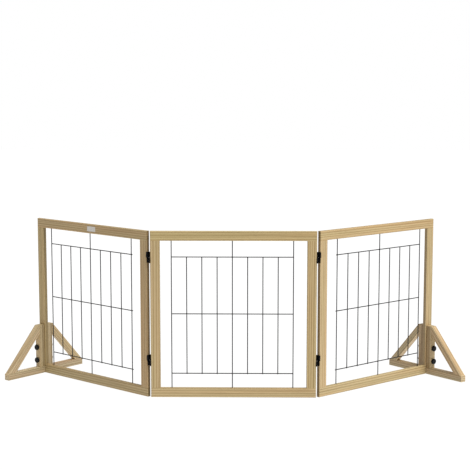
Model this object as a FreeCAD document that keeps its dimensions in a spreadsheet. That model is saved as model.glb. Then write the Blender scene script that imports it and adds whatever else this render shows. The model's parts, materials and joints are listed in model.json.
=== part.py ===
"""Folding pet gate: three wood-framed wire panels, two-way screen hinges and bolted triangular feet.

Millimetres, +Z up. The origin is the middle of the centre panel's underside, +X runs to the right
along the centre panel, and the wings fold back towards +Y. Every panel is modelled flat in its own
frame (origin at the middle of its underside, front face towards -Y), and every foot in a frame whose
+Y points away from the wing. The placements then carry each sub-part to where it stands.
"""
import FreeCAD, Part
import os

import Sketcher

DIMENSIONS = {
    # The wooden frames
    "panel_width": 600,
    "panel_height": 610,
    "panel_thickness": 15,
    "member_width": 35,
    "frame_round": 2.5,
    "rest_fold": 40.3,
    "frame_dowel_radius": 3,
    "frame_dowel_length": 36,
    "frame_dowel_spacing": 16,
    # The wire grids
    "wire_diameter": 3.5,
    "wire_pitch": 55,
    "wire_seat_depth": 12,
    "top_bar_drop": 95,
    "middle_bar_drop": 303,
    "bottom_bar_height": 87,
    "centre_grid_shift": -4,
    "left_grid_shift": -6,
    "right_grid_shift": 10,
    # The blank name plate on the left wing
    "plate_width": 44,
    "plate_height": 19,
    "plate_thickness": 1,
    "plate_corner": 2,
    "plate_shift": 9,
    # The screen hinges
    "upper_hinge_drop": 96,
    "lower_hinge_height": 136,
    "hinge_height": 39,
    "hinge_half_gap": 1.3,
    "axis_stand_off": 1,
    "leaf_thickness": 1.2,
    "recess_end_gap": 0.5,
    "knuckle_length": 8,
    "pin_radius": 1.2,
    "strap_thickness": 1.2,
    "hinge_screw_spacing": 22,
    "hinge_screw_length": 14,
    "hinge_screw_radius": 1.2,
    "hinge_screw_head_radius": 2.5,
    # The feet
    "foot_length": 180,
    "foot_height": 192,
    "bar_width": 25,
    "post_depth": 25,
    "base_height": 26,
    "brace_depth": 25,
    "top_flat": 28,
    "tip_height": 22,
    "bar_round": 2.5,
    "foot_dowel_radius": 3,
    "foot_dowel_length": 22,
    # The bolts and knobs
    "lower_bolt_height": 53,
    "upper_bolt_height": 104,
    "bolt_radius": 3,
    "knob_radius": 11,
    "knob_length": 9,
    "knob_crown": 3,
    "knob_neck_radius": 7,
    "knob_neck_length": 2,
    "knob_flute_radius": 2.5,
    "knob_flute_depth": 1,
    "nut_radius": 7,
    "nut_length": 6,
    "nut_crown": 2,
    "nut_neck_radius": 5,
    "nut_neck_length": 1,
    "nut_flute_radius": 1.6,
    "nut_flute_depth": 0.6,
    "nut_thread_depth": 4,
    # Clearances
    "body_gap": 0.3,
    "bolt_clearance": 0.3,
    "pin_clearance": 0.05,
    "wood_clearance": 0.1,
}

KNOB_FLUTES = 8
WIRES_PER_PANEL = 9
SIDES = {"left": -1, "right": 1}

doc = FreeCAD.newDocument("pet_gate")
sizes = doc.addObject("Spreadsheet::Sheet", "Sizes")
for row, (alias, number) in enumerate(DIMENSIONS.items(), start=1):
    sizes.set(f"A{row}", alias.replace("_", " "))
    sizes.set(f"B{row}", str(number))
    sizes.setAlias(f"B{row}", alias)
doc.recompute()

SUBPARTS = []


def size(alias):
    """The cell with this alias, as an expression."""
    return f"Sizes.{alias}"


def value(expression):
    """The number that an expression gives now."""
    result = sizes.evalExpression(str(expression))
    return float(getattr(result, "Value", result))


# Places that several sub-parts share, as expressions over the sheet.
WIDTH = size("panel_width")
HEIGHT = size("panel_height")
HALF_WIDTH = f"({WIDTH} / 2)"
HALF_THICKNESS = f"({size('panel_thickness')} / 2)"
MEMBER = size("member_width")
AXIS_X = f"({HALF_WIDTH} + {size('hinge_half_gap')})"
AXIS_Y = f"({HALF_THICKNESS} + {size('axis_stand_off')})"
KNUCKLE_RADIUS = f"({size('hinge_half_gap')} + {size('leaf_thickness')})"
FOOT_START = f"({HALF_THICKNESS} + {size('body_gap')})"
POST_FACE = f"({FOOT_START} + {size('post_depth')})"
TOP_BAR = f"({HEIGHT} - {size('top_bar_drop')})"
BAR_HEIGHTS = (TOP_BAR, f"({HEIGHT} - {size('middle_bar_drop')})", size("bottom_bar_height"))
HINGE_HEIGHTS = (f"({HEIGHT} - {size('upper_hinge_drop')})", size("lower_hinge_height"))
BOLT_HEIGHTS = {"upper": size("upper_bolt_height"), "lower": size("lower_bolt_height")}


# --- Placements ---------------------------------------------------------------------------------

class Station:
    """Where a panel or a foot stands: a point along a wing, seen from its hinge axis, and a turn."""

    def __init__(self, side=0, reach=None, turn=0):
        self.side = side
        self.reach = reach
        self.turn = turn

    def place(self, sub_part):
        """Bind the sub-part's Placement to the fold angle and to its distance along the wing."""
        if self.side == 0:
            return
        fold = size("rest_fold")
        along = f"({size('hinge_half_gap')} + {self.reach})"
        x = f"{self.side} * ({AXIS_X} + {along} * cos({fold}) + {AXIS_Y} * sin({fold}))"
        y = f"{AXIS_Y} + {along} * sin({fold}) - {AXIS_Y} * cos({fold})"
        sub_part.setExpression("Placement.Base.x", x)
        sub_part.setExpression("Placement.Base.y", y)
        sub_part.setExpression("Placement.Rotation.Angle", f"{self.side} * {fold} + {self.turn}")


def keep(sub_part, label, station):
    """Name a finished sub-part, put it in its place and list it for export."""
    sub_part.Label = label
    station.place(sub_part)
    SUBPARTS.append(sub_part)
    return sub_part


# --- Solids that the sub-parts are made from ------------------------------------------------------

TURNS = {
    "x": FreeCAD.Rotation(FreeCAD.Vector(0, 1, 0), 90),
    "y": FreeCAD.Rotation(FreeCAD.Vector(1, 0, 0), -90),
    "z": FreeCAD.Rotation(),
}


def move_to(shape, at):
    for axis, expression in zip("xyz", at):
        shape.setExpression(f"Placement.Base.{axis}", str(expression))


def rod(radius, length, at, axis="z"):
    """A cylinder that starts at a point and runs along +X, +Y or +Z."""
    shape = doc.addObject("Part::Cylinder", "rod")
    shape.Placement = FreeCAD.Placement(FreeCAD.Vector(), TURNS[axis])
    shape.setExpression("Radius", radius)
    shape.setExpression("Height", length)
    move_to(shape, at)
    return shape


def block(lengths, at):
    """A box with its lowest corner at a point."""
    shape = doc.addObject("Part::Box", "block")
    for name, expression in zip(("Length", "Width", "Height"), lengths):
        shape.setExpression(name, expression)
    move_to(shape, at)
    return shape


def group(shapes, kind="Part::Compound"):
    """Separate solids in one sub-part, or with another kind, one fused shape."""
    if len(shapes) == 1:
        return shapes[0]
    together = doc.addObject(kind, "group")
    if kind == "Part::Compound":
        together.Links = shapes
    else:
        together.Shapes = shapes
    return together


def fuse(shapes):
    return group(shapes, "Part::MultiFuse")


def cut(base, tools):
    shape = doc.addObject("Part::Cut", "cut")
    shape.Base = base
    shape.Tool = fuse(tools)
    return shape


def common(base, tool):
    shape = doc.addObject("Part::Common", "common")
    shape.Base = base
    shape.Tool = tool
    return shape


def new_sketch(body, role, offset="0"):
    """A sketch on one of the body's own origin planes, moved along that plane's normal."""
    sketch = body.newObject("Sketcher::SketchObject", "sketch")
    plane = next(item for item in body.Origin.OriginFeatures if item.Role == role)
    sketch.AttachmentSupport = (plane, "")
    sketch.MapMode = "FlatFace"
    sketch.setExpression("AttachmentOffset.Base.z", offset)
    return sketch


def pin_point(sketch, geometry, point, at):
    """Fix one point of a sketch's geometry at two expressions."""
    for kind, expression in zip(("DistanceX", "DistanceY"), at):
        distance = value(expression)
        number = sketch.addConstraint(Sketcher.Constraint(kind, -1, 1, geometry, point, distance))
        sketch.setExpression(f"Constraints[{number}]", str(expression))


def add_outline(sketch, corners):
    """A closed outline of straight lines through corners given as pairs of expressions."""
    points = [FreeCAD.Vector(value(x), value(y), 0) for x, y in corners]
    first = sketch.GeometryCount
    count = len(points)
    for number in range(count):
        line = Part.LineSegment(points[number], points[(number + 1) % count])
        sketch.addGeometry(line, False)
    for number in range(count):
        following = first + (number + 1) % count
        sketch.addConstraint(Sketcher.Constraint("Coincident", first + number, 2, following, 1))
    for number, corner in enumerate(corners):
        pin_point(sketch, first + number, 1, corner)


def add_circle(sketch, centre, radius):
    x, y = centre
    middle, normal = FreeCAD.Vector(value(x), value(y), 0), FreeCAD.Vector(0, 0, 1)
    circle = Part.Circle(middle, normal, value(radius))
    number = sketch.addGeometry(circle, False)
    pin_point(sketch, number, 3, centre)
    rule = sketch.addConstraint(Sketcher.Constraint("Radius", number, value(radius)))
    sketch.setExpression(f"Constraints[{rule}]", radius)


def pad_body(role, outlines, length, offset="0"):
    """A body with one sketch of closed outlines, padded to both sides of its plane."""
    body = doc.addObject("PartDesign::Body", "body")
    sketch = new_sketch(body, role, offset)
    for corners in outlines:
        add_outline(sketch, corners)
    pad = body.newObject("PartDesign::Pad", "pad")
    pad.Profile = sketch
    pad.SideType = "Symmetric"
    pad.setExpression("Length", length)
    doc.recompute()
    return body


def round_edges(body, radius, wanted):
    """Fillet the edges of the body's tip for which wanted(edge) is true."""
    base = body.Tip
    names = [f"Edge{i}" for i, edge in enumerate(base.Shape.Edges, start=1) if wanted(edge)]
    fillet = body.newObject("PartDesign::Fillet", "fillet")
    fillet.Base = (base, names)
    fillet.setExpression("Radius", radius)
    doc.recompute()


def direction(edge):
    start, end = edge.Vertexes[0].Point, edge.Vertexes[-1].Point
    return (end - start).normalize()


def along(edge, vector):
    """Whether a straight edge runs along a vector, either way."""
    return abs(direction(edge).dot(FreeCAD.Vector(*vector).normalize())) > 0.999


# --- Panels -----------------------------------------------------------------------------------

def frame_blank():
    """The whole frame as one rounded ring, from which the four members are taken."""
    outer = [(f"-{HALF_WIDTH}", "0"), (HALF_WIDTH, "0"),
             (HALF_WIDTH, HEIGHT), (f"-{HALF_WIDTH}", HEIGHT)]
    left, right = f"{MEMBER} - {HALF_WIDTH}", f"{HALF_WIDTH} - {MEMBER}"
    low, high = MEMBER, f"{HEIGHT} - {MEMBER}"
    window = [(left, low), (right, low), (right, high), (left, high)]
    body = pad_body("XZ_Plane", [outer, window], size("panel_thickness"))
    round_edges(body, size("frame_round"), lambda edge: not along(edge, (0, 1, 0)))
    return body


def dowel_rods(radius, length):
    """Eight upright rods, two across the joint at each corner of a frame."""
    rods = []
    for side in SIDES.values():
        middle = f"{side} * ({HALF_WIDTH} - {MEMBER} / 2)"
        for row in (-1, 1):
            x = f"{middle} + {row} * {size('frame_dowel_spacing')} / 2"
            for joint in (MEMBER, f"({HEIGHT} - {MEMBER})"):
                rods.append(rod(radius, length, (x, "0", f"{joint} - ({length}) / 2")))
    return rods


def wire_stations(shift):
    """The place across the panel of each upright wire, and whether it reaches into the rails."""
    last = WIRES_PER_PANEL - 1
    for number in range(WIRES_PER_PANEL):
        steps = number - last / 2
        yield f"{shift} + {steps} * {size('wire_pitch')}", number % (last // 2) == 0


def wire_seats(shift):
    """The holes in both rails for the long wires, as one rod through the whole panel each."""
    radius = f"{size('wire_diameter')} / 2 + {size('wood_clearance')}"
    start = f"{MEMBER} - {size('wire_seat_depth')}"
    length = f"{HEIGHT} - 2 * ({start})"
    return [rod(radius, length, (x, "0", start)) for x, is_long in wire_stations(shift) if is_long]


def panel_member(blank, lengths, at, holes):
    return cut(common(blank, block(lengths, at)), holes)


def hinge_recess(edge):
    """The shallow slots that the hinge leaves are let into, at one edge (-1 or 1) of a panel."""
    depth = size("leaf_thickness")
    x = f"-{HALF_WIDTH}" if edge < 0 else f"{HALF_WIDTH} - {depth}"
    length = f"({size('hinge_height')} + 2 * {size('recess_end_gap')})"
    return [block((depth, size("panel_thickness"), length),
                  (x, f"-{HALF_THICKNESS}", f"{height} - {length} / 2"))
            for height in HINGE_HEIGHTS]


def screw_heights():
    for height in HINGE_HEIGHTS:
        for row in (-1, 1):
            yield f"{height} + {row} * {size('hinge_screw_spacing')} / 2"


def hinge_screw(edge, height, clearance="0"):
    """A countersunk wood screw driven into the stile through a hinge leaf: its shank and its head."""
    length = size("hinge_screw_length")
    narrow = f"{size('hinge_screw_radius')} + {clearance}"
    wide = f"{size('hinge_screw_head_radius')} + {clearance}"
    tip = f"{HALF_WIDTH} - {length} - {clearance}" if edge > 0 else f"-{HALF_WIDTH}"
    shank = rod(narrow, f"{length} + {clearance}", (tip, "0", height), "x")
    head = doc.addObject("Part::Cone", "head")
    head.Placement = FreeCAD.Placement(FreeCAD.Vector(), TURNS["x"])
    head.setExpression("Radius1", narrow if edge > 0 else wide)
    head.setExpression("Radius2", wide if edge > 0 else narrow)
    head.setExpression("Height", size("leaf_thickness"))
    start = f"{HALF_WIDTH} - {size('leaf_thickness')}" if edge > 0 else f"-{HALF_WIDTH}"
    move_to(head, (start, "0", height))
    return fuse([shank, head])


def bolt_holes(side):
    """The holes through a wing's outer stile for the bolts of its feet."""
    radius = f"{size('bolt_radius')} + {size('bolt_clearance')}"
    x = f"{side} * ({HALF_WIDTH} - {MEMBER} / 2)"
    return [rod(radius, size("panel_thickness"), (x, f"-{HALF_THICKNESS}", height), "y")
            for height in BOLT_HEIGHTS.values()]


def build_panel(prefix, station, shift, hinged_edges, foot_edge=0):
    """One framed panel: two rails, two stiles, their dowels and the wire grid."""
    blank = frame_blank()
    loose = size("wood_clearance")
    dowel_radius, dowel_length = size("frame_dowel_radius"), size("frame_dowel_length")
    sockets = (f"{dowel_radius} + {loose}", f"{dowel_length} + 2 * {loose}")
    thickness = size("panel_thickness")
    stile_length = f"{HEIGHT} - 2 * {MEMBER}"

    for name, z in (("bottom_rail", "0"), ("top_rail", f"{HEIGHT} - {MEMBER}")):
        holes = dowel_rods(*sockets) + wire_seats(shift)
        start = (f"-{HALF_WIDTH}", f"-{HALF_THICKNESS}", z)
        rail = panel_member(blank, (WIDTH, thickness, MEMBER), start, holes)
        keep(rail, f"{prefix}_{name}", station)

    for name, edge in SIDES.items():
        x = f"-{HALF_WIDTH}" if edge < 0 else f"{HALF_WIDTH} - {MEMBER}"
        holes = dowel_rods(*sockets)
        if edge in hinged_edges:
            holes += hinge_recess(edge)
            holes += [hinge_screw(edge, height, loose) for height in screw_heights()]
        if edge == foot_edge:
            holes += bolt_holes(edge)
        start = (x, f"-{HALF_THICKNESS}", MEMBER)
        stile = panel_member(blank, (MEMBER, thickness, stile_length), start, holes)
        keep(stile, f"{prefix}_{name}_stile", station)

    keep(group(dowel_rods(dowel_radius, dowel_length)), f"{prefix}_corner_dowels", station)
    build_grid(prefix, station, shift)


def build_grid(prefix, station, shift):
    """Upright wires, three of them held in the rails, and crossbars welded on behind them."""
    radius = f"{size('wire_diameter')} / 2"
    uprights = []
    for x, is_long in wire_stations(shift):
        if is_long:
            start = f"{MEMBER} - {size('wire_seat_depth')} + {size('wood_clearance')}"
            length = f"{HEIGHT} - 2 * ({start})"
        else:
            start = f"{size('bottom_bar_height')} - {radius}"
            length = f"{TOP_BAR} - {size('bottom_bar_height')} + {size('wire_diameter')}"
        uprights.append(rod(radius, length, (x, "0", start)))
    keep(group(uprights), f"{prefix}_wire_uprights", station)

    span = f"{WIRES_PER_PANEL - 1} * {size('wire_pitch')} + {size('wire_diameter')}"
    bars = [rod(radius, span, (f"{shift} - ({span}) / 2", size("wire_diameter"), height), "x")
            for height in BAR_HEIGHTS]
    keep(group(bars), f"{prefix}_wire_crossbars", station)


def build_name_plate(station):
    """A blank plate with rounded corners on the front of the left wing's top rail."""
    half = f"{size('plate_width')} / 2"
    low = f"{HEIGHT} - ({MEMBER} + {size('plate_height')}) / 2"
    left, right = f"{size('plate_shift')} - {half}", f"{size('plate_shift')} + {half}"
    high = f"{low} + {size('plate_height')}"
    middle = f"{HALF_THICKNESS} + {size('plate_thickness')} / 2"
    body = pad_body("XZ_Plane", [[(left, low), (right, low), (right, high), (left, high)]],
                    size("plate_thickness"), middle)
    round_edges(body, size("plate_corner"), lambda edge: along(edge, (0, 1, 0)))
    keep(body, "left_name_plate", station)


# --- Hinges -----------------------------------------------------------------------------------
#
# A two-way hinge has a leaf on each stile, with one knuckle in front of the panel and one behind,
# and two links that cross between them. The upper link joins the wing's front knuckle to the centre
# leaf's rear knuckle, and the lower link the other way round, so the wing folds about the rear axis
# together with the upper link, and about the front axis together with the lower one.

FRONT, REAR = -1, 1
UPPER, LOWER = 1, -1


def half_start(height, half):
    """The lowest point of a hinge's upper or lower half, each a little shorter than half of it."""
    if half == UPPER:
        return f"{height} + {size('body_gap')} / 2"
    return f"{height} - {size('hinge_height')} / 2"


HALF_LENGTH = f"(({size('hinge_height')} - {size('body_gap')}) / 2)"


def knuckle_start(height, half):
    return f"{half_start(height, half)} + ({HALF_LENGTH} - {size('knuckle_length')}) / 2"


def pin_bore(edge, height, half, face):
    radius = f"{size('pin_radius')} + {size('pin_clearance')}"
    return rod(radius, HALF_LENGTH, (f"{edge} * {AXIS_X}", f"{face} * {AXIS_Y}", half_start(height, half)))


def hinge_leaf(edge, height, knuckles):
    """A leaf at one edge of a panel, with a knuckle at the face given for each half."""
    thickness = size("leaf_thickness")
    x = f"-{HALF_WIDTH}" if edge < 0 else f"{HALF_WIDTH} - {thickness}"
    half_width = f"({AXIS_Y} - {KNUCKLE_RADIUS} - {size('body_gap')})"
    plate = block((thickness, f"2 * {half_width}", size("hinge_height")),
                  (x, f"-{half_width}", half_start(height, LOWER)))
    pieces = [plate]
    bores = [hinge_screw(edge, f"{height} + {row} * {size('hinge_screw_spacing')} / 2")
             for row in (-1, 1)]
    for half, face in knuckles.items():
        start, length = knuckle_start(height, half), size("knuckle_length")
        pieces.append(rod(KNUCKLE_RADIUS, length, (f"{edge} * {AXIS_X}", f"{face} * {AXIS_Y}", start)))
        tab_start = f"-{AXIS_Y}" if face == FRONT else "0"
        pieces.append(block((thickness, AXIS_Y, length), (x, tab_start, start)))
        bores.append(pin_bore(edge, height, half, face))
    return cut(fuse(pieces), bores)


def hinge_link(edge, height, half):
    """The strap in the gap between the leaves, with knuckles above and below those of the leaves."""
    thickness = size("strap_thickness")
    strap = block((thickness, f"2 * {AXIS_Y}", HALF_LENGTH),
                  (f"{edge} * {AXIS_X} - {thickness} / 2", f"-{AXIS_Y}", half_start(height, half)))
    pieces, openings = [strap], []
    gap = size("body_gap")
    for face in (FRONT, REAR):
        axis = (f"{edge} * {AXIS_X}", f"{face} * {AXIS_Y}")
        pieces.append(rod(KNUCKLE_RADIUS, HALF_LENGTH, (*axis, half_start(height, half))))
        room = (*axis, f"{knuckle_start(height, half)} - {gap}")
        openings.append(rod(f"{KNUCKLE_RADIUS} + {gap}", f"{size('knuckle_length')} + 2 * {gap}", room))
        openings.append(pin_bore(edge, height, half, face))
    return cut(fuse(pieces), openings)


def hinge_pin(edge, height, half, face):
    return rod(size("pin_radius"), HALF_LENGTH,
               (f"{edge} * {AXIS_X}", f"{face} * {AXIS_Y}", half_start(height, half)))


def build_hinges(prefix, station, edges, knuckles, link_half, pin_places):
    """The hinge pieces that belong to one panel, for both hinges of each of its hinged edges."""
    places = [(edge, height) for edge in edges for height in HINGE_HEIGHTS]
    leaves = [hinge_leaf(edge, height, knuckles) for edge, height in places]
    links = [hinge_link(edge, height, link_half) for edge, height in places]
    pins = [hinge_pin(edge, height, *spot) for edge, height in places for spot in pin_places]
    screws = [hinge_screw(edge, height) for edge in edges for height in screw_heights()]
    for name, pieces in (("leaves", leaves), ("links", links), ("pins", pins), ("screws", screws)):
        keep(group(pieces), f"{prefix}_hinge_{name}", station)


# --- Feet -------------------------------------------------------------------------------------
#
# A foot is drawn in the Y-Z plane: Y away from the stile, Z up from the floor.

SLOPE_RUN = f"({size('foot_length')} - {size('top_flat')})"
SLOPE_DROP = f"({size('foot_height')} - {size('tip_height')})"
SLOPE_LENGTH = f"sqrt({SLOPE_RUN} ^ 2 + {SLOPE_DROP} ^ 2)"
BASE_END = f"({FOOT_START} + {size('foot_length')})"
TIP_DROP = f"({size('base_height')} - {size('tip_height')})"
SLOPE_FOOT = f"({BASE_END} - {TIP_DROP} * {SLOPE_RUN} / {SLOPE_DROP})"
SLOPE_INNER_FOOT = f"({SLOPE_FOOT} - {size('brace_depth')} * {SLOPE_LENGTH} / {SLOPE_DROP})"
SLOPE_TOP = f"({size('top_flat')} - {size('post_depth')})"
BRACE_SEAT = (f"({size('foot_height')} + {SLOPE_TOP} * {SLOPE_DROP} / {SLOPE_RUN}"
              f" - {size('brace_depth')} * {SLOPE_LENGTH} / {SLOPE_RUN})")


def foot_dowels(radius, length):
    """The dowels between base and post, base and brace, and brace and post."""
    rods = []
    for y in (f"({FOOT_START} + {POST_FACE}) / 2", f"({SLOPE_FOOT} + {SLOPE_INNER_FOOT}) / 2"):
        rods.append(rod(radius, length, ("0", y, f"{size('base_height')} - ({length}) / 2")))
    middle = f"({size('foot_height')} + {BRACE_SEAT}) / 2"
    rods.append(rod(radius, length, ("0", f"{POST_FACE} - ({length}) / 2", middle), "y"))
    return rods


def foot_bar(corners, long_way, holes):
    """One bar of a foot: its outline, its rounded long edges and its holes."""
    body = pad_body("YZ_Plane", [corners], size("bar_width"))
    round_edges(body, size("bar_round"), lambda edge: along(edge, long_way))
    return cut(body, holes)


def build_foot(prefix, station):
    """A triangle of post, base and brace, pegged together."""
    height, floor_bar = size("foot_height"), size("base_height")
    loose = size("wood_clearance")
    radius, length = size("foot_dowel_radius"), size("foot_dowel_length")
    sockets = (f"{radius} + {loose}", f"{length} + 2 * {loose}")
    brace_way = (0, -value(SLOPE_RUN), value(SLOPE_DROP))

    base = [(FOOT_START, "0"), (BASE_END, "0"), (BASE_END, size("tip_height")),
            (SLOPE_FOOT, floor_bar), (FOOT_START, floor_bar)]
    keep(foot_bar(base, (0, 1, 0), foot_dowels(*sockets)), f"{prefix}_foot_base", station)

    post = [(FOOT_START, floor_bar), (POST_FACE, floor_bar), (POST_FACE, height), (FOOT_START, height)]
    bolt_radius = f"{size('bolt_radius')} + {size('bolt_clearance')}"
    bolts = [rod(bolt_radius, size("post_depth"), ("0", FOOT_START, bolt_height), "y")
             for bolt_height in BOLT_HEIGHTS.values()]
    keep(foot_bar(post, (0, 0, 1), foot_dowels(*sockets) + bolts), f"{prefix}_foot_post", station)

    brace = [(POST_FACE, BRACE_SEAT), (SLOPE_INNER_FOOT, floor_bar), (SLOPE_FOOT, floor_bar),
             (f"{FOOT_START} + {size('top_flat')}", height), (POST_FACE, height)]
    keep(foot_bar(brace, brace_way, foot_dowels(*sockets)), f"{prefix}_foot_brace", station)

    keep(group(foot_dowels(radius, length)), f"{prefix}_foot_dowels", station)


# --- Bolts and knobs --------------------------------------------------------------------------

KNOB_START = f"({POST_FACE} + {size('body_gap')})"
BOLT_END = f"(-{POST_FACE} - {size('body_gap')} - {size('nut_thread_depth')})"


def turned_knob(kind, inside, height):
    """A knob turned about its axis, with flutes around its rim.

    kind is "knob" or "nut", and inside is the corners that close its half section on the axis side.
    """
    neck, neck_length = size(f"{kind}_neck_radius"), size(f"{kind}_neck_length")
    rim, crown = size(f"{kind}_radius"), size(f"{kind}_crown")
    shoulder = f"{KNOB_START} + {neck_length}"
    end = f"({KNOB_START} + {size(f'{kind}_length')})"
    outline = [(neck, KNOB_START), (neck, shoulder), (rim, shoulder), (rim, f"{end} - {crown}"),
               (f"{rim} - {crown}", end), ("0", end)]

    body = doc.addObject("PartDesign::Body", "body")
    profile = new_sketch(body, "XY_Plane", height)
    add_outline(profile, outline + inside)
    turned = body.newObject("PartDesign::Revolution", "turned")
    turned.Profile = profile
    turned.ReferenceAxis = (profile, ["V_Axis"])
    turned.Angle = 360
    doc.recompute()
    volume = body.Shape.Volume

    flute_radius = size(f"{kind}_flute_radius")
    flute_sketch = new_sketch(body, "XZ_Plane", f"-{end}")
    reach = f"{rim} + {flute_radius} - {size(f'{kind}_flute_depth')}"
    add_circle(flute_sketch, (reach, height), flute_radius)
    flute = body.newObject("PartDesign::Pocket", "flute")
    flute.Profile = flute_sketch
    flute.setExpression("Length", size(f"{kind}_length"))
    doc.recompute()
    if flute.Shape.Volume >= volume:
        flute.Reversed = True
        doc.recompute()
    pattern = body.newObject("PartDesign::PolarPattern", "flutes")
    pattern.Originals = [flute]
    pattern.Axis = (profile, ["V_Axis"])
    pattern.Angle = 360
    pattern.Occurrences = KNOB_FLUTES
    body.Tip = pattern
    doc.recompute()
    if not body.Shape.Volume < volume:
        raise RuntimeError("the flutes cut nothing from a knob")
    return body


def build_bolt(label, station, height):
    """A knob with a screwed shank that passes through both feet and the stile between them."""
    shank = size("bolt_radius")
    inside = [("0", BOLT_END), (shank, BOLT_END), (shank, KNOB_START)]
    keep(turned_knob("knob", inside, height), label, station)


def build_nut(label, station, height):
    """A smaller, flatter knob with a blind threaded hole for the end of the bolt."""
    bore = f"{size('bolt_radius')} + {size('pin_clearance')}"
    bottom = f"{KNOB_START} + {size('nut_thread_depth')} + {size('wood_clearance')}"
    inside = [("0", bottom), (bore, bottom), (bore, KNOB_START)]
    keep(turned_knob("nut", inside, height), label, station)


# --- The gate ---------------------------------------------------------------------------------

CENTRE = Station()
build_panel("centre", CENTRE, size("centre_grid_shift"), hinged_edges=(-1, 1))
build_hinges("centre", CENTRE, (-1, 1), {UPPER: REAR, LOWER: FRONT}, LOWER,
             ((LOWER, FRONT), (LOWER, REAR), (UPPER, REAR)))

for name, side in SIDES.items():
    wing = Station(side, HALF_WIDTH)
    build_panel(name, wing, size(f"{name}_grid_shift"), hinged_edges=(-side,), foot_edge=side)
    build_hinges(name, wing, (-side,), {UPPER: FRONT, LOWER: REAR}, UPPER, ((UPPER, FRONT),))
    foot_reach = f"({WIDTH} - {MEMBER} / 2)"
    front, rear = Station(side, foot_reach, 180), Station(side, foot_reach)
    build_foot(f"{name}_front", front)
    build_foot(f"{name}_rear", rear)
    for level, height in BOLT_HEIGHTS.items():
        build_bolt(f"{name}_{level}_knob_bolt", front, height)
        build_nut(f"{name}_{level}_knob_nut", rear, height)
    if side == SIDES["left"]:
        build_name_plate(wing)

doc.recompute()
for item in doc.Objects:
    if "Invalid" in item.State or "Error" in item.State:
        raise RuntimeError(f"{item.Name} ({item.Label}) did not build: {item.State}")

os.makedirs("parts", exist_ok=True)
for sub_part in SUBPARTS:
    shape = sub_part.Shape
    if shape.isNull() or not shape.isValid() or not shape.Solids:
        raise RuntimeError(f"{sub_part.Label} has no valid solid")
    shape.exportStep(f"parts/{sub_part.Label}.step")
print(f"{len(SUBPARTS)} sub-parts, {sum(len(item.Shape.Solids) for item in SUBPARTS)} solids")
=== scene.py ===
"""The looks of the folding pet gate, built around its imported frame. Metres, in the frame's axes.

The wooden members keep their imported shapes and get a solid-grain wood each. The wires, hinges, knobs,
bolts and name plate are replaced by finer pieces that take their sizes and places from the frame.
"""
import json
import math
import random

import bmesh
import bpy
from mathutils import Euler, Matrix, Vector, noise


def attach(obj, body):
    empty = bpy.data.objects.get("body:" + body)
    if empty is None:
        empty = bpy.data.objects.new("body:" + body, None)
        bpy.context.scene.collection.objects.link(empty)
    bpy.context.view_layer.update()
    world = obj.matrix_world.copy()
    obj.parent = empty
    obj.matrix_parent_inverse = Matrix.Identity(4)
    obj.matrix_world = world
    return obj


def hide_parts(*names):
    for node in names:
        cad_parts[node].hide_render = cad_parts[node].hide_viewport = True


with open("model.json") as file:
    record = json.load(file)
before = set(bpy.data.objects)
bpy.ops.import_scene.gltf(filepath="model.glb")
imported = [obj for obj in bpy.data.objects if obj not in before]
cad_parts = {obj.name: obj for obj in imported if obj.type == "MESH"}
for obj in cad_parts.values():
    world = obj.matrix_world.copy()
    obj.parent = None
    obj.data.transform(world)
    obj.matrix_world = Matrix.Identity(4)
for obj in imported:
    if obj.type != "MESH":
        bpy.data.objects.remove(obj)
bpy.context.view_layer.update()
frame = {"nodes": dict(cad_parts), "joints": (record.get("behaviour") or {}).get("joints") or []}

MM = 0.001
SIDES = ("left", "right")
NODES = frame["nodes"]
JOINTS = {joint["name"]: joint for joint in frame["joints"]}


# --- Places, read from the frame ----------------------------------------------------------------

SOLID_MERGE = 0.01 * MM  # vertices that are closer than this belong to one solid


def panel_place(name):
    """The matrix from a panel's own flat axes (x along it, front towards -Y) to the frame."""
    if name == "centre":
        return Matrix.Identity(4)
    fold = JOINTS[f"{name}_wing_fold"]
    axis = Vector(fold["pos_m"])
    turn = Matrix.Rotation(math.radians(-fold["range_deg"][0]) * fold["axis"][2], 4, "Z")
    in_line = Matrix.Translation((2 * axis.x, 0, 0))
    return Matrix.Translation(axis) @ turn @ Matrix.Translation(-axis) @ in_line


PANELS = {name: panel_place(name) for name in ("centre", "left", "right")}


def foot_place(side, end):
    """The matrix from a foot's own axes (+Y away from the stile, through its bolts) to the frame."""
    about = Matrix.Rotation(math.pi if end == "front" else 0, 3, "Z")
    turn = PANELS[side].to_3x3() @ about
    origin = Vector(JOINTS[f"{side}_upper_knob_bolt_turn"]["pos_m"])
    origin.z = 0
    return Matrix.Translation(origin) @ turn.to_4x4()


def local_points(node, place):
    """A node's vertices, seen in a place's own axes."""
    return [place.inverted() @ vertex.co for vertex in NODES[node].data.vertices]


def box_around(points):
    """The lowest and the highest corner of the box around some points."""
    return (Vector([min(point[axis] for point in points) for axis in range(3)]),
            Vector([max(point[axis] for point in points) for axis in range(3)]))


def local_box(node, place):
    """The lowest and highest corner of a node, seen in a place's own axes."""
    return box_around(local_points(node, place))


def solid_boxes(node, place):
    """The box of each separate solid of a node, in a place's own axes, sorted by its corners."""
    shape = bmesh.new()
    shape.from_mesh(NODES[node].data)
    bmesh.ops.remove_doubles(shape, verts=shape.verts, dist=SOLID_MERGE)
    bmesh.ops.transform(shape, matrix=place.inverted(), verts=shape.verts)
    left, boxes = set(shape.verts), []
    while left:
        stack, found = [left.pop()], []
        while stack:
            vertex = stack.pop()
            found.append(vertex.co.copy())
            near = {edge.other_vert(vertex) for edge in vertex.link_edges} & left
            left -= near
            stack += near
        boxes.append(box_around(found))
    shape.free()
    return sorted(boxes, key=lambda box: [round(number, 5) for number in (*box[0], *box[1])])


# --- Materials ----------------------------------------------------------------------------------

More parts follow.
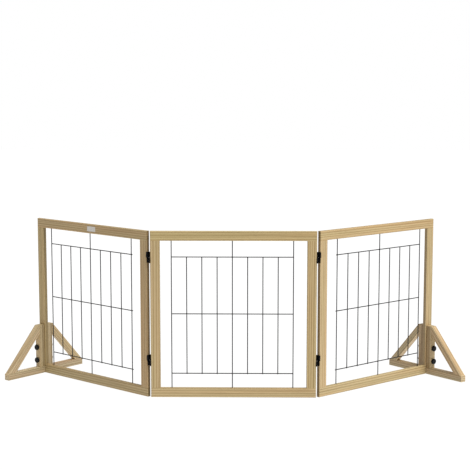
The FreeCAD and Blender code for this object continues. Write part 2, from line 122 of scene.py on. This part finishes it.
class Shader:
    """A material with one Principled shader, and short calls that add the nodes that feed it."""

    def __init__(self, name, **surface):
        self.material = bpy.data.materials.new(name)
        self.material.use_nodes = True
        self.tree = self.material.node_tree
        self.surface = self.tree.nodes["Principled BSDF"]
        for socket, number in surface.items():
            self.surface.inputs[socket.replace("_", " ")].default_value = number
        coordinates = self.add("TexCoord")
        self.place = coordinates.outputs["Object"]
        self.normal = coordinates.outputs["Normal"]

    def add(self, kind, inputs=(), **settings):
        node = self.tree.nodes.new("ShaderNode" + kind)
        for name, setting in settings.items():
            setattr(node, name, setting)
        for key, source in dict(inputs).items():
            self.feed(node.inputs[key], source)
        return node

    def feed(self, socket, source):
        if isinstance(source, bpy.types.NodeSocket):
            self.tree.links.new(source, socket)
        else:
            socket.default_value = source

    def set(self, name, source):
        self.feed(self.surface.inputs[name], source)

    def moved(self, vector, location=(0, 0, 0), rotation=(0, 0, 0), scale=(1, 1, 1)):
        inputs = {"Vector": vector, "Location": location, "Rotation": rotation, "Scale": scale}
        return self.add("Mapping", inputs).outputs["Vector"]

    def noise(self, vector, scale, detail=2.0, roughness=0.5):
        inputs = {"Vector": vector, "Scale": scale, "Detail": detail, "Roughness": roughness}
        return self.add("TexNoise", inputs).outputs[0]

    def maths(self, operation, first, second=0.0):
        """One step of arithmetic. An operation on a single number leaves the second out."""
        return self.add("Math", {0: first, 1: second}, operation=operation).outputs[0]

    def spread(self, source, low, high, new_low, new_high):
        """Map a stretch of numbers to another, and hold the ends."""
        inputs = {"Value": source, "From Min": low, "From Max": high, "To Min": new_low, "To Max": new_high}
        return self.add("MapRange", inputs, clamp=True).outputs[0]

    def ramp(self, factor, stops):
        """A colour that follows a factor through stops, each a place from 0 to 1 and its colour."""
        node = self.add("ValToRGB", {"Fac": factor})
        points = node.color_ramp.elements
        while len(points) < len(stops):
            points.new(0.5)
        for point, (position, colour) in zip(points, stops):
            point.position = position
            point.color = (*colour, 1)
        return node.outputs["Color"]

    def blend(self, factor, first, second, way="MIX"):
        node = self.add("Mix", data_type="RGBA", blend_type=way)
        self.feed(node.inputs[0], factor)
        for socket, source in ((node.inputs[6], first), (node.inputs[7], second)):
            self.feed(socket, (*source, 1) if isinstance(source, tuple) else source)
        return node.outputs[2]

    def bump(self, height, distance, strength):
        inputs = {"Height": height, "Distance": distance, "Strength": strength}
        return self.add("Bump", inputs).outputs["Normal"]

    def finish(self, cloud, colours, roughness, relief, depth, strength):
        """Let colour and roughness follow one noise, and a fine relief another."""
        self.set("Base Color", self.ramp(cloud, colours))
        self.set("Roughness", self.spread(cloud, *roughness))
        self.set("Normal", self.bump(relief, depth, strength))
        return self.material


EARLY_WOOD = (0.565, 0.425, 0.218)
MID_WOOD = (0.465, 0.332, 0.152)
LATE_WOOD = (0.345, 0.228, 0.092)
FLECK = (0.25, 0.16, 0.07)
RING_WIDTH = 8.6 * MM
WAVE_TURN = math.tau / 20  # the length of one wave in a Wave texture of scale 1

RING_COLOURS = [(0.0, EARLY_WOOD), (0.4, EARLY_WOOD), (0.7, MID_WOOD), (0.9, LATE_WOOD), (1.0, EARLY_WOOD)]

# Tints that the colour of the rings is multiplied by.
STREAK_TINTS = [(0.3, (0.80, 0.76, 0.70)), (0.52, (1, 1, 1)), (0.75, (1, 1, 0.97))]
FIBRE_TINTS = [(0.28, (0.84, 0.82, 0.78)), (0.6, (1.0, 1.0, 1.0))]
WARMTH_TINTS = [(0.35, (1.05, 0.975, 0.93)), (0.5, (1, 1, 1)), (0.65, (0.95, 0.99, 0.97))]
# Painted shade: the tint that darkens faces which look along a panel, standing in for shade that the lamp
# doesn't give.
PAINTED_SIDE_SHADE = (0.56, 0.53, 0.49)


def log_place(shader, grain, draw):
    """Where a point lies in the log that a piece was cut from: X along the log, and the pith at 0."""
    turn = grain.to_3x3().inverted()
    start = turn @ grain.to_translation()
    here = shader.moved(shader.place, location=-start, rotation=turn.to_euler())
    along = draw.uniform(-9, 9)
    pith = (draw.uniform(-30, 30) * MM, draw.choice((-1, 1)) * draw.uniform(55, 120) * MM)
    tilt = (0, draw.uniform(-0.005, 0.005), draw.uniform(-0.006, 0.006))
    return shader.moved(here, location=(along, *pith), rotation=tilt)


def wood(name, grain, tone, richness, sideways, painted_shade_depth):
    """Lacquered softwood. grain is the matrix from the piece's own axes (X along it) to the frame.

    tone is how bright it is, and richness how strong its colour is. Faces that look along sideways,
    either way, are darker by painted_shade_depth (0 to 1). That stands in for shade that the lamp doesn't give.
    """
    draw = random.Random(name)
    shader = Shader(name, Coat_Weight=0.1, Coat_Roughness=0.35, Specular_IOR_Level=0.35)
    log = log_place(shader, grain, draw)

    def drawn_out(share, fineness, detail, roughness=0.5):
        """Noise drawn out along the grain, where it keeps only a share of its fineness."""
        return shader.noise(shader.moved(log, scale=(share, 1, 1)), fineness, detail, roughness)

    slow = shader.moved(log, scale=(0.03, 1, 1))
    sway = shader.noise(slow, 38.0)
    width_change = drawn_out(0.012, 60.0, detail=1.0)
    rings = shader.add("TexWave", {
        "Vector": slow, "Scale": WAVE_TURN / RING_WIDTH, "Distortion": 0.9, "Detail": 2.0,
        "Detail Scale": 0.3, "Detail Roughness": 0.55,
        "Phase Offset": shader.maths("MULTIPLY", width_change, 8.0),
    }, wave_type="RINGS", rings_direction="X", wave_profile="SAW").outputs["Fac"]
    streaks = drawn_out(0.02, 170.0, detail=3.0, roughness=0.6)
    fibres = drawn_out(0.015, 1100.0, detail=2.0, roughness=0.65)
    pores = drawn_out(0.055, 620.0, detail=1.0)
    pore_mask = shader.spread(pores, 0.70, 0.76, 0.0, 0.5)

    colour = shader.ramp(rings, RING_COLOURS)
    colour = shader.blend(0.9, colour, shader.ramp(streaks, STREAK_TINTS), "MULTIPLY")
    colour = shader.blend(0.6, colour, shader.ramp(fibres, FIBRE_TINTS), "MULTIPLY")
    colour = shader.blend(pore_mask, colour, FLECK)
    colour = shader.blend(1.0, colour, shader.ramp(sway, WARMTH_TINTS), "MULTIPLY")

    # Painted shade: faces that look along sideways, either way, are darkened, standing in for shade that
    # the lamp doesn't give.
    faced = shader.add("VectorMath", {0: shader.normal, 1: sideways}, operation="DOT_PRODUCT")
    side = shader.maths("ABSOLUTE", faced.outputs["Value"])
    painted_shade_mask = shader.spread(side, 0.75, 0.97, 0.0, painted_shade_depth)
    colour = shader.blend(painted_shade_mask, colour, PAINTED_SIDE_SHADE, "MULTIPLY")
    shift = shader.add("HueSaturation", {
        "Hue": 0.5 + draw.uniform(-0.004, 0.004), "Saturation": richness * draw.uniform(0.95, 1.06),
        "Value": tone * draw.uniform(0.965, 1.035), "Fac": 1.0, "Color": colour,
    })
    shader.set("Base Color", shift.outputs["Color"])

    shader.set("Roughness", shader.spread(shader.maths("ADD", fibres, rings), 0.4, 1.6, 0.42, 0.58))
    relief = shader.maths("SUBTRACT", shader.maths("MULTIPLY", fibres, 0.6), pore_mask)
    shader.set("Normal", shader.bump(relief, 0.12 * MM, 0.55))
    return shader.material


def powder_coat():
    """Satin black powder coat on the wires, with its faint orange peel."""
    shader = Shader("black_powder_coat", Specular_IOR_Level=0.2)
    return shader.finish(cloud=shader.noise(shader.place, 45.0, detail=3.0),
                         colours=[(0.35, (0.009, 0.009, 0.010)), (0.7, (0.018, 0.017, 0.017))],
                         roughness=(0.3, 0.7, 0.36, 0.5),
                         relief=shader.noise(shader.place, 900.0), depth=0.04 * MM, strength=0.5)


def hinge_paint():
    """Semi-gloss black paint on the steel hinges, rubbed a little in places."""
    shader = Shader("black_hinge_paint", Specular_IOR_Level=0.14)
    return shader.finish(cloud=shader.noise(shader.place, 260.0, detail=4.0, roughness=0.7),
                         colours=[(0.55, (0.005, 0.005, 0.006)), (0.8, (0.024, 0.022, 0.020))],
                         roughness=(0.3, 0.75, 0.28, 0.5),
                         relief=shader.noise(shader.place, 1500.0), depth=0.02 * MM, strength=0.5)


def moulded_plastic():
    """Black moulded plastic with a fine spark-eroded texture."""
    shader = Shader("black_moulded_plastic", Specular_IOR_Level=0.14)
    return shader.finish(cloud=shader.noise(shader.place, 130.0),
                         colours=[(0.35, (0.005, 0.005, 0.006)), (0.7, (0.010, 0.010, 0.011))],
                         roughness=(0.3, 0.7, 0.34, 0.46),
                         relief=shader.noise(shader.place, 2600.0), depth=0.03 * MM, strength=0.6)


def zinc_steel():
    """Bright zinc plating on the bolt shanks and the screws."""
    shader = Shader("zinc_plated_steel", Metallic=1.0)
    return shader.finish(cloud=shader.noise(shader.place, 320.0, detail=4.0, roughness=0.7),
                         colours=[(0.3, (0.50, 0.51, 0.52)), (0.7, (0.68, 0.68, 0.67))],
                         roughness=(0.3, 0.7, 0.24, 0.42),
                         relief=shader.noise(shader.place, 3000.0), depth=0.01 * MM, strength=0.5)


def brushed_plate(place):
    """Brushed light metal, with its brush marks along the plate."""
    shader = Shader("brushed_plate", Metallic=0.35, Specular_IOR_Level=0.5)
    flat = shader.moved(shader.place, rotation=place.to_3x3().inverted().to_euler())
    brush = shader.noise(shader.moved(flat, scale=(0.02, 1, 1)), 5200.0, detail=3.0, roughness=0.7)
    return shader.finish(cloud=brush,
                         colours=[(0.3, (0.58, 0.55, 0.50)), (0.7, (0.72, 0.69, 0.64))],
                         roughness=(0.3, 0.7, 0.38, 0.55), relief=brush, depth=0.01 * MM, strength=0.6)


# --- Mesh tools ---------------------------------------------------------------------------------

SHARP_ANGLE = 35  # degrees between two faces, past which their edge is shaded as a corner
KNOB_SHARP_ANGLE = 50


def lathe(shape, place, profile, segments, radius_at=None):
    """Turn a profile of (radius, height) points about a place's Z axis. A radius of 0 closes an end."""
    rings = []
    for radius, height in profile:
        if radius == 0:
            rings.append([shape.verts.new(place @ Vector((0, 0, height)))])
            continue
        ring = []
        for step in range(segments):
            angle = math.tau * step / segments
            reach = radius_at(radius, angle) if radius_at else radius
            point = Vector((reach * math.cos(angle), reach * math.sin(angle), height))
            ring.append(shape.verts.new(place @ point))
        rings.append(ring)
    for low, high in zip(rings, rings[1:]):
        for step in range(segments):
            after = (step + 1) % segments
            if len(low) == 1:
                shape.faces.new((low[0], high[step], high[after]))
            elif len(high) == 1:
                shape.faces.new((low[step], low[after], high[0]))
            else:
                shape.faces.new((low[step], low[after], high[after], high[step]))


def arc(centre, radius, start, end, steps):
    """Points of a round stretch, as (radius, height) pairs, from one angle in degrees to another."""
    for step in range(steps + 1):
        angle = math.radians(start + (end - start) * step / steps)
        yield centre[0] + radius * math.cos(angle), centre[1] + radius * math.sin(angle)


def add_piece(name, shape, body, material, replaced=(), sharp=SHARP_ANGLE):
    """Turn a mesh under work into a finished piece that rides on its body."""
    bmesh.ops.recalc_face_normals(shape, faces=shape.faces)
    mesh = bpy.data.meshes.new(name)
    shape.to_mesh(mesh)
    shape.free()
    mesh.shade_smooth()
    mesh.set_sharp_from_angle(angle=math.radians(sharp))
    mesh.materials.append(material)
    piece = bpy.data.objects.new(name, mesh)
    bpy.context.scene.collection.objects.link(piece)
    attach(piece, body)
    if replaced:
        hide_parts(*replaced)


def facing(start, direction):
    """A matrix with its origin at a point and its Z axis along a direction."""
    turn = Vector((0, 0, 1)).rotation_difference(direction).to_matrix().to_4x4()
    return Matrix.Translation(start) @ turn


# --- Wires --------------------------------------------------------------------------------------

WIRE_SIDES = 20
TIP_ROUND = 0.5 * MM
TIP_STEPS = 3
# A weld's bead: its radius as a share of the wire's, how far it is stretched, and how lumpy it is.
NUGGET_SHARE = 0.82
NUGGET_STRETCH = 1.35
NUGGET_SWELL = 0.16
NUGGET_LUMPS = 1.3


def wire_rod(shape, place, low, high):
    """One wire with slightly rounded cut ends, through the middle of a box along its long side."""
    size = high - low
    axis = max(range(3), key=lambda number: size[number])
    radius = min(size) / 2
    middle = (low + high) / 2
    start = middle.copy()
    start[axis] = low[axis]
    direction = Vector([float(number == axis) for number in range(3)])
    length = size[axis]
    tip = list(arc((radius - TIP_ROUND, TIP_ROUND), TIP_ROUND, -90, 0, TIP_STEPS))
    profile = [(0, 0)] + tip + [(r, length - h) for r, h in reversed(tip)] + [(0, length)]
    lathe(shape, place @ facing(start, direction), profile, WIRE_SIDES)


def weld_nugget(shape, place, centre, radius, draw):
    """The uneven bead of metal where two wires are welded."""
    stretch = Matrix.Diagonal((NUGGET_STRETCH, 1, NUGGET_STRETCH, 1))
    bead = bmesh.ops.create_icosphere(shape, subdivisions=3, radius=radius)
    offset = Vector([draw.uniform(0, 50) for _ in range(3)])
    for vertex in bead["verts"]:
        swell = 1 + NUGGET_SWELL * noise.noise(vertex.co / radius * NUGGET_LUMPS + offset)
        vertex.co = place @ (centre + stretch @ (vertex.co * swell))


def build_wires(panel, body, coat):
    """A panel's uprights as one piece, and its crossbars with their welds as another."""
    place = PANELS[panel]
    uprights = solid_boxes(f"{panel}_wire_uprights", place)
    crossbars = solid_boxes(f"{panel}_wire_crossbars", place)
    draw = random.Random(panel)
    shape = bmesh.new()
    for low, high in uprights:
        wire_rod(shape, place, low, high)
    add_piece(f"{panel}_upright_wires", shape, body, coat, [f"{panel}_wire_uprights"])

    shape = bmesh.new()
    for low, high in crossbars:
        wire_rod(shape, place, low, high)
        middle = (low + high) / 2
        radius = (high.z - low.z) / 2
        for thin, thick in uprights:
            upright = (thin + thick) / 2
            if thin.z <= middle.z <= thick.z:
                touch = Vector((upright.x, (upright.y + middle.y) / 2, middle.z))
                weld_nugget(shape, place, touch, radius * NUGGET_SHARE, draw)
    add_piece(f"{panel}_cross_wires", shape, body, coat, [f"{panel}_wire_crossbars"])


# --- Hinges -------------------------------------------------------------------------------------

EDGE_BREAK = 0.18 * MM
EDGE_STEPS = 2
EDGE_PROFILE = 0.6
EDGE_ANGLE = 40  # degrees between two faces, past which their edge is broken
FACET_ANGLE = 1.0  # degrees between two facets, below which they become one face
FACET_MERGE = 0.005 * MM
PIN_SIDES = 24
PIN_DOME = 0.45  # the height of a pin's domed end, as a share of its radius
DOME_STEPS = 6


def softened(node):
    """A node's shape with its facets merged into clean faces and its sharp edges broken."""
    shape = bmesh.new()
    shape.from_mesh(NODES[node].data)
    bmesh.ops.remove_doubles(shape, verts=shape.verts, dist=FACET_MERGE)
    bmesh.ops.dissolve_limit(shape, angle_limit=math.radians(FACET_ANGLE), verts=shape.verts,
                             edges=shape.edges)
    sharp = [edge for edge in shape.edges
             if len(edge.link_faces) == 2 and edge.calc_face_angle() > math.radians(EDGE_ANGLE)]
    bmesh.ops.bevel(shape, geom=sharp, offset=EDGE_BREAK, segments=EDGE_STEPS, profile=EDGE_PROFILE,
                    affect="EDGES", clamp_overlap=True)
    return shape


def build_hinges(panel, body, paint, steel):
    """The leaves, links and pins that ride on a panel. The screws keep their shapes."""
    place = PANELS[panel]
    for part, new_name in (("hinge_leaves", "leaf_plates"), ("hinge_links", "link_straps")):
        node = f"{panel}_{part}"
        add_piece(f"{panel}_{new_name}", softened(node), body, paint, [node])

    shape = bmesh.new()
    for low, high in solid_boxes(f"{panel}_hinge_pins", place):
        radius = (high.x - low.x) / 2
        start = (low + high) / 2
        start.z = low.z
        length = high.z - low.z
        dome = list(arc((0, radius), radius, -90, 0, DOME_STEPS))[1:]
        profile = [(0, 0)] + [(r, h * PIN_DOME) for r, h in dome]
        profile += [(r, length - h * PIN_DOME) for r, h in reversed(dome)] + [(0, length)]
        lathe(shape, place @ Matrix.Translation(start), profile, PIN_SIDES)
    add_piece(f"{panel}_pins", shape, body, paint, [f"{panel}_hinge_pins"])

    NODES[f"{panel}_hinge_screws"].data.materials[0] = steel


# --- Knobs and bolts ----------------------------------------------------------------------------

# Neck radius, neck length, crown and flute depth of the knob at each end of a bolt.
KNOB_SHAPES = {"bolt": (7 * MM, 2 * MM, 3 * MM, 1 * MM), "nut": (5 * MM, 1 * MM, 2 * MM, 0.6 * MM)}
KNOB_HOLLOWS = {"bolt": 2 * MM, "nut": 4.1 * MM}
KNOB_SIDES = 96
LOBES = 8
FLUTE_START = 0.55  # as a share of the rim's radius
SKIRT_ROUND = 0.9 * MM
SKIRT_STEPS = 5
CROWN_STEPS = 8
CROWN_END = 80  # degrees up the crown at which the flat face begins
BORE_BEVEL = 0.25 * MM
NECK_FOOT = ((-0.4 * MM, 0), (-0.1 * MM, 0.1 * MM), (0, 0.4 * MM))  # out from the neck, and up
NECK_FILLET = 0.3 * MM
DIMPLE_SHARE = 0.42  # the dimple's radius as a share of the rim's
# How far each point of the dimple's wall lies out from its radius, and below the top.
DIMPLE_WALL = ((0.5 * MM, 0.02 * MM), (0, 0.05 * MM), (-0.35 * MM, 0.3 * MM), (-0.9 * MM, 0.42 * MM))
# Points of its floor: a share of its radius, and how far below the top.
DIMPLE_FLOOR = ((0.45, 0.36 * MM), (0, 0.3 * MM))

SEAT_GAP = 0.3 * MM
SHANK_RADIUS = 3 * MM
SHANK_SIDES = 32
SHANK_PLAY = 0.02 * MM
BORE_GAP = 0.05 * MM
THREAD_PITCH = 1.0 * MM
THREAD_DEPTH = 0.55 * MM
THREAD_STEPS = 8  # rings of points to one turn of the thread
THREADED_LENGTH = 24 * MM
PLAIN_END = 0.6 * MM  # how far before the thread the plain stretch ends
POINT_LENGTH = 0.8 * MM
POINT_TAPER = 0.8


def lobed(rim, depth):
    """A knob's radius at an angle: flutes that fade towards its middle."""
    def radius_at(radius, angle):
        share = max(0.0, radius / rim - FLUTE_START) / (1 - FLUTE_START)
        flute = max(0.0, math.cos(LOBES * angle)) ** 1.5
        return radius - depth * flute * share ** 2
    return radius_at


def knob_shape(place, kind, rim, top):
    """A moulded knob: a neck, an undercut skirt, a lobed rim, a crowned face and a dimple."""
    neck, neck_length, crown, flute_depth = KNOB_SHAPES[kind]
    bore, hollow, dimple = SHANK_RADIUS + BORE_GAP, KNOB_HOLLOWS[kind], DIMPLE_SHARE * rim
    profile = [(0, hollow), (bore, hollow), (bore, BORE_BEVEL), (bore + BORE_BEVEL, 0)]
    profile += [(neck + out, up) for out, up in NECK_FOOT]
    profile += [(neck, neck_length - NECK_FILLET), (neck + NECK_FILLET, neck_length)]
    profile += [(rim - SKIRT_ROUND, neck_length)]
    skirt = arc((rim - SKIRT_ROUND, neck_length + SKIRT_ROUND), SKIRT_ROUND, -90, 0, SKIRT_STEPS)
    profile += list(skirt)[1:]
    profile += arc((rim - crown, top - crown), crown, 0, CROWN_END, CROWN_STEPS)
    profile += [(dimple + out, top - down) for out, down in DIMPLE_WALL]
    profile += [(share * dimple, top - down) for share, down in DIMPLE_FLOOR]
    shape = bmesh.new()
    lathe(shape, place, profile, KNOB_SIDES, lobed(rim, flute_depth))
    return shape


def bolt_shank(place, radius, length, hidden):
    """A shank that is plain behind its knob and threaded over its far stretch. It runs along -Z."""
    plain = length - THREADED_LENGTH
    shape = bmesh.new()
    count = int(THREADED_LENGTH / THREAD_PITCH * THREAD_STEPS)
    heights = [-hidden, plain - PLAIN_END]
    heights += [plain + THREADED_LENGTH * number / count for number in range(count + 1)]
    rings = []
    for height in heights:
        ring = []
        for side in range(SHANK_SIDES):
            angle = math.tau * side / SHANK_SIDES
            reach = radius - SHANK_PLAY
            if height > plain:
                turn = (height / THREAD_PITCH - angle / math.tau) % 1
                groove = 1 - abs(2 * turn - 1)
                run_in = min(1.0, (height - plain) / THREAD_PITCH)
                reach -= THREAD_DEPTH * groove * run_in
                reach -= max(0.0, height - length + POINT_LENGTH) * POINT_TAPER
            point = Vector((reach * math.cos(angle), reach * math.sin(angle), -height))
            ring.append(shape.verts.new(place @ point))
        rings.append(ring)
    for low, high in zip(rings, rings[1:]):
        for side in range(SHANK_SIDES):
            after = (side + 1) % SHANK_SIDES
            shape.faces.new((low[side], low[after], high[after], high[side]))
    for ring in (rings[0], rings[-1]):
        shape.faces.new(ring)
    return shape


def build_knobs(side, level, plastic, steel):
    """The bolt with its knob at the front foot, and the flatter nut knob at the rear foot."""
    for end, kind in (("rear", "nut"), ("front", "bolt")):
        node = f"{side}_{level}_knob_{kind}"
        foot = foot_place(side, end)
        low, high = local_box(node, foot)
        seat = local_box(f"{side}_{end}_foot_post", foot)[1].y + SEAT_GAP
        height = (low.z + high.z) / 2
        rim = max(math.hypot(point.x, point.z - height) for point in local_points(node, foot))
        place = foot @ facing(Vector((0, seat, height)), Vector((0, 1, 0)))
        shape = knob_shape(place, kind, rim, high.y - seat)
        add_piece(f"{side}_{level}_{kind}_knob", shape, node, plastic, [node],
                  sharp=KNOB_SHARP_ANGLE)
        if kind == "bolt":
            shank = bolt_shank(place, SHANK_RADIUS, seat - low.y, KNOB_HOLLOWS[kind])
            add_piece(f"{side}_{level}_bolt_shank", shank, node, steel, sharp=KNOB_SHARP_ANGLE)


# --- The name plate -----------------------------------------------------------------------------

PLATE_CORNER = 2 * MM
CORNER_STEPS = 8
# How far each loop of the plate lies in from its outline, and back from its face.
PLATE_LOOPS = ((0, 0.3 * MM), (0.1 * MM, 0.1 * MM), (0.3 * MM, 0), (1.1 * MM, 0), (1.25 * MM, 0.08 * MM),
               (1.4 * MM, 0.25 * MM))


def build_name_plate(material):
    """A blank plate: a rounded rectangle with a raised border around a sunken field."""
    place = PANELS["left"]
    low, high = local_box("left_name_plate", place)
    middle = (low + high) / 2
    half_x, half_z = (high.x - low.x) / 2, (high.z - low.z) / 2
    shape = bmesh.new()

    def loop(inset, depth):
        """Points around the plate, in from its outline and back from its face."""
        points = []
        radius = PLATE_CORNER - inset
        for quarter, (sign_x, sign_z) in enumerate(((1, 1), (-1, 1), (-1, -1), (1, -1))):
            for step in range(CORNER_STEPS + 1):
                angle = math.radians(90 * quarter + 90 * step / CORNER_STEPS)
                x = sign_x * (half_x - inset - radius) + radius * math.cos(angle)
                z = sign_z * (half_z - inset - radius) + radius * math.sin(angle)
                point = Vector((middle.x + x, low.y + depth, middle.z + z))
                points.append(shape.verts.new(place @ point))
        return points

    rings = [loop(0, high.y - low.y)] + [loop(inset, depth) for inset, depth in PLATE_LOOPS]
    for outer, inner in zip(rings, rings[1:]):
        for number in range(len(outer)):
            after = (number + 1) % len(outer)
            shape.faces.new((outer[number], outer[after], inner[after], inner[number]))
    shape.faces.new(rings[0])
    shape.faces.new(rings[-1])
    add_piece("left_blank_plate", shape, "left_wing", material, ["left_name_plate"])


# --- Wood ---------------------------------------------------------------------------------------

# Turns that lay the grain, which runs along X, along each axis.
LIE = {"x": Euler((0, 0, 0)), "y": Euler((0, 0, math.pi / 2)), "z": Euler((0, -math.pi / 2, 0))}
PANEL_PARTS = {"top_rail": "x", "bottom_rail": "x", "left_stile": "z", "right_stile": "z",
               "corner_dowels": "z"}

# How bright the wood of each panel and foot member is: its own tone, with painted light and shade on top.
# The left panel is darker and the right one lighter as painted shade and light, and the braces are lighter
# as painted light from above.
PANEL_TONES_AND_LIGHT = {"left": 0.92, "centre": 1.04, "right": 1.1}
FOOT_TONES_AND_LIGHT = {"post": 1.12, "base": 1.14, "brace": 1.32, "dowels": 1.05}
FOOT_RICHNESS = 0.86
# How deep the painted shade is on the faces of the feet that look along their panel.
FOOT_PAINTED_SHADE_DEPTH = 0.6


def give_wood(node, place, turn, *look):
    """Give a wooden node its own wood. turn lays the grain in the place's axes."""
    low, high = local_box(node, place)
    grain = place @ Matrix.Translation((low + high) / 2) @ turn.to_matrix().to_4x4()
    NODES[node].data.materials[0] = wood(f"wood_{node}", grain, *look)


def build_wood():
    """Wood for every rail, stile, foot member and dowel."""
    for panel, place in PANELS.items():
        # Panels get the full depth of painted shade on the faces that look along them.
        look = (PANEL_TONES_AND_LIGHT[panel], 1.0, place.to_3x3() @ Vector((1, 0, 0)), 1.0)
        for part, way in PANEL_PARTS.items():
            give_wood(f"{panel}_{part}", place, LIE[way], *look)
    for side in SIDES:
        for end in ("front", "rear"):
            place = foot_place(side, end)
            sideways = place.to_3x3() @ Vector((1, 0, 0))
            low, high = local_box(f"{side}_{end}_foot_brace", place)
            lean = math.atan2(high.z - low.z, high.y - low.y)
            slope = (Matrix.Rotation(-lean, 3, "X") @ LIE["y"].to_matrix()).to_euler()
            turns = {"post": LIE["z"], "base": LIE["y"], "brace": slope, "dowels": LIE["z"]}
            for part, turn in turns.items():
                give_wood(f"{side}_{end}_foot_{part}", place, turn, FOOT_TONES_AND_LIGHT[part], FOOT_RICHNESS,
                          sideways, FOOT_PAINTED_SHADE_DEPTH)


# --- Stage --------------------------------------------------------------------------------------

FLOOR_HALF_SIZE = 14
FLOOR_CELLS = 8
FLOOR_GAP = 0.2 * MM
FLOOR_TONE = 0.08
FLOOR_GLOW = 0.94  # the light that the floor gives off, which is nearly all of its white
SURROUND_LIGHT = 0.38
KEY_LIGHT = {"azimuth": 52, "elevation": 60, "width": 24, "strength": 2.5}
LENS, SENSOR_WIDTH = 97.37, 36  # millimetres
EYE = (0.0725, -4.5187, 1.1890)
EYE_TILT, EYE_TURN = 82.52, 0.85  # degrees


def build_floor():
    """A plain floor that is as white as its surroundings."""
    shape = bmesh.new()
    bmesh.ops.create_grid(shape, x_segments=FLOOR_CELLS, y_segments=FLOOR_CELLS, size=FLOOR_HALF_SIZE)
    mesh = bpy.data.meshes.new("floor")
    shape.to_mesh(mesh)
    shape.free()
    shader = Shader("pale_floor", Roughness=0.9)
    shader.set("Base Color", (FLOOR_TONE, FLOOR_TONE, FLOOR_TONE, 1))
    shader.set("Emission Color", (1, 1, 1, 1))
    shader.set("Emission Strength", FLOOR_GLOW)
    mesh.materials.append(shader.material)
    floor = bpy.data.objects.new("floor", mesh)
    floor.location.z = -FLOOR_GAP
    bpy.context.scene.collection.objects.link(floor)


def build_surround():
    """White all around: soft as a light, and pure white behind the gate."""
    world = bpy.data.worlds.new("studio")
    bpy.context.scene.world = world
    world.use_nodes = True
    tree = world.node_tree
    lighting = tree.nodes["Background"]
    backdrop = tree.nodes.new("ShaderNodeBackground")
    for background, strength in ((lighting, SURROUND_LIGHT), (backdrop, 1.0)):
        background.inputs["Color"].default_value = (1, 1, 1, 1)
        background.inputs["Strength"].default_value = strength
    choice = tree.nodes.new("ShaderNodeMixShader")
    path = tree.nodes.new("ShaderNodeLightPath")
    tree.links.new(path.outputs["Is Camera Ray"], choice.inputs["Fac"])
    tree.links.new(lighting.outputs[0], choice.inputs[1])
    tree.links.new(backdrop.outputs[0], choice.inputs[2])
    tree.links.new(choice.outputs[0], tree.nodes["World Output"].inputs["Surface"])


def build_camera():
    """The camera in front of the gate, and plain colours without a film look."""
    camera = bpy.data.cameras.new("camera")
    camera.sensor_width = SENSOR_WIDTH
    camera.lens = LENS
    eye = bpy.data.objects.new("camera", camera)
    eye.location = EYE
    eye.rotation_euler = (math.radians(EYE_TILT), 0, math.radians(EYE_TURN))
    scene = bpy.context.scene
    scene.collection.objects.link(eye)
    scene.camera = eye
    scene.view_settings.view_transform = "Standard"
    scene.view_settings.look = "None"


def add_sun(name, azimuth, elevation, width, strength):
    """A large soft lamp far away. Azimuth 0 lights the front, and 90 the right side; all in degrees."""
    light = bpy.data.lights.new(name, "SUN")
    light.angle = math.radians(width)
    light.energy = strength
    lamp = bpy.data.objects.new(name, light)
    lamp.rotation_euler = (math.radians(90 - elevation), 0, math.radians(azimuth))
    bpy.context.scene.collection.objects.link(lamp)


# --- The gate -----------------------------------------------------------------------------------

build_wood()
coat, paint, plastic, steel = powder_coat(), hinge_paint(), moulded_plastic(), zinc_steel()
for panel, body in (("centre", "centre_panel"), ("left", "left_wing"), ("right", "right_wing")):
    build_wires(panel, body, coat)
    build_hinges(panel, body, paint, steel)
for side in SIDES:
    for level in ("upper", "lower"):
        build_knobs(side, level, plastic, steel)
build_name_plate(brushed_plate(PANELS["left"]))
build_floor()
build_surround()
add_sun("key", **KEY_LIGHT)
build_camera()
